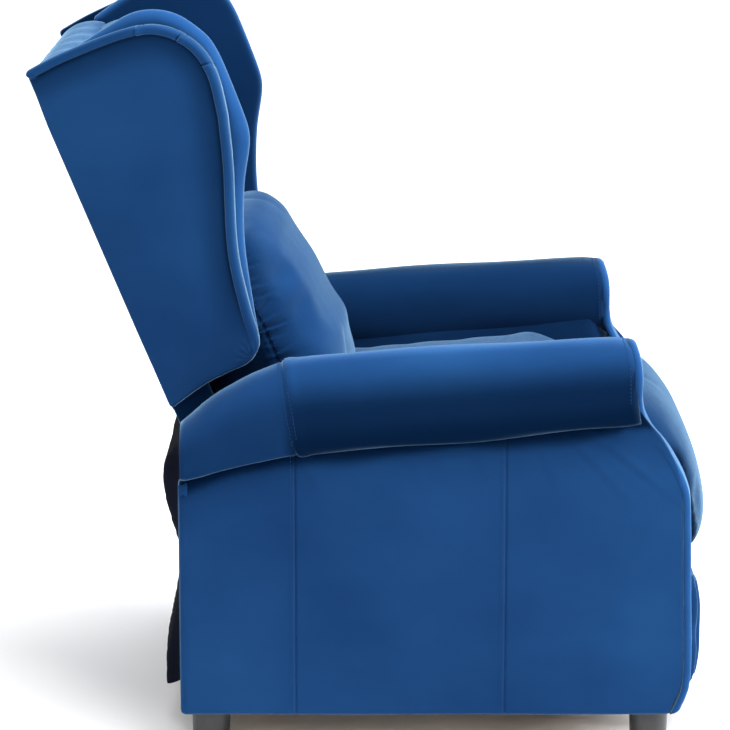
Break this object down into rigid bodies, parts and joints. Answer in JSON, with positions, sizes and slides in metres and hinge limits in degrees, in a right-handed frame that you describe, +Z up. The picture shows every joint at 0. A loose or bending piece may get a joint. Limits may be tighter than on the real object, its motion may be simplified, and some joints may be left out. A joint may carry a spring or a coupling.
{
  "type": "recliner armchair",
  "caption": "Push-back wing recliner in velvet with rolled arms, lumbar pillow, sliding seat carriage and a scissor-linkage footrest.",
  "frame": {"origin": "on the floor under the middle of the chair's bounding box, back upright and footrest closed", "axes": "+Z up; the chair faces -Y; the sitter's left is +X"},
  "size_m": [0.69, 0.9202, 1.0141],
  "materials": {
    "velvet_blue": "royal-blue cut velvet with a short bright nap",
    "lining_dark": "very dark navy lining cloth, matt",
    "webbing": "woven elastic upholstery webbing",
    "leg_plastic": "black moulded plastic, fine texture",
    "frame_timber": "raw planed beech and plywood",
    "mechanism_steel": "black powder-coated pressed steel"
  },
  "bodies": {
    "base": {"arm_frame_left": "frame_timber", "arm_frame_right": "frame_timber", "arm_outer_panel_left": "velvet_blue", "arm_outer_panel_right": "velvet_blue", "arm_inner_pad_left": "velvet_blue", "arm_inner_pad_right": "velvet_blue", "arm_bottom_rail_left": "frame_timber", "arm_bottom_rail_right": "frame_timber", "arm_roll_left": "velvet_blue", "arm_roll_right": "velvet_blue", "arm_front_facing_left": "velvet_blue", "arm_front_facing_right": "velvet_blue", "base_front_rail": "frame_timber", "base_rear_rail": "frame_timber", "front_leg_left": "leg_plastic", "front_leg_right": "leg_plastic", "rear_leg_left": "leg_plastic", "rear_leg_right": "leg_plastic", "base_rail_left": "mechanism_steel", "base_rail_right": "mechanism_steel"},
    "carriage": {"seat_side_rail_left": "frame_timber", "seat_side_rail_right": "frame_timber", "seat_front_rail": "frame_timber", "seat_rear_rail": "frame_timber", "seat_webbing": "webbing", "seat_cushion": "velvet_blue", "rear_drape": "lining_dark", "mechanism_plate_left": "mechanism_steel", "mechanism_plate_right": "mechanism_steel", "slide_stud_front_left": "mechanism_steel", "slide_stud_front_right": "mechanism_steel", "slide_stud_rear_left": "mechanism_steel", "slide_stud_rear_right": "mechanism_steel"},
    "back": {"back_stile_left": "frame_timber", "back_stile_right": "frame_timber", "back_top_rail": "frame_timber", "back_lower_rail": "frame_timber", "back_webbing": "webbing", "outer_back_cover": "velvet_blue", "lumbar_pillow": "velvet_blue", "head_cushion": "velvet_blue", "back_bracket_left": "mechanism_steel", "back_bracket_right": "mechanism_steel", "wing_panel_left": "velvet_blue", "wing_panel_right": "velvet_blue", "wing_pad_left": "velvet_blue", "wing_pad_right": "velvet_blue"},
    "lift_links": {"lift_link_left": "mechanism_steel", "lift_link_right": "mechanism_steel", "drive_tube": "mechanism_steel"},
    "guide_links": {"guide_link_left": "mechanism_steel", "guide_link_right": "mechanism_steel"},
    "stay_links": {"stay_link_left": "mechanism_steel", "stay_link_right": "mechanism_steel"},
    "carry_links": {"carry_link_left": "mechanism_steel", "carry_link_right": "mechanism_steel"},
    "footrest": {"footrest_board": "frame_timber", "footrest_pad": "velvet_blue", "footrest_bracket_left": "mechanism_steel", "footrest_bracket_right": "mechanism_steel"}
  },
  "joints": [
    {"name": "back_recline", "type": "hinge", "parent": "carriage", "child": "back", "pos_m": [0, 0.215, 0.33], "axis": [-1, 0, 0], "range_deg": [0, 27], "deforming": ["rear_drape"]},
    {"name": "seat_slide", "type": "slide", "parent": "base", "child": "carriage", "axis": [0, -1, 0], "range_m": [0, 0.0436]},
    {"name": "footrest_extend", "type": "hinge", "parent": "carriage", "child": "lift_links", "pos_m": [0, -0.359, 0.23], "axis": [-1, 0, 0], "range_deg": [0, 82]},
    {"name": "guide_link_turn", "type": "hinge", "parent": "lift_links", "child": "guide_links", "pos_m": [0, -0.37393, 0.14531], "axis": [-1, 0, 0], "range_deg": [-120.5, 0]},
    {"name": "carry_link_turn", "type": "hinge", "parent": "lift_links", "child": "carry_links", "pos_m": [0, -0.38713, 0.07046], "axis": [-1, 0, 0], "range_deg": [-120.5, 0]},
    {"name": "stay_link_turn", "type": "hinge", "parent": "guide_links", "child": "stay_links", "pos_m": [0, -0.38713, 0.22015], "axis": [-1, 0, 0], "range_deg": [0, 120.5]},
    {"name": "footrest_board_turn", "type": "hinge", "parent": "carry_links", "child": "footrest", "pos_m": [0, -0.41075, 0.20439], "axis": [-1, 0, 0], "range_deg": [0, 123.5]}
  ],
  "couplings": [
    {"joint": "seat_slide", "follows": "back_recline", "m_per_rad": 0.092},
    {"joint": "guide_link_turn", "follows": "footrest_extend", "ratio": -1.4634},
    {"joint": "carry_link_turn", "follows": "footrest_extend", "ratio": -1.4634},
    {"joint": "stay_link_turn", "follows": "footrest_extend", "ratio": 1.4634},
    {"joint": "footrest_board_turn", "follows": "footrest_extend", "ratio": 1.5}
  ]
}
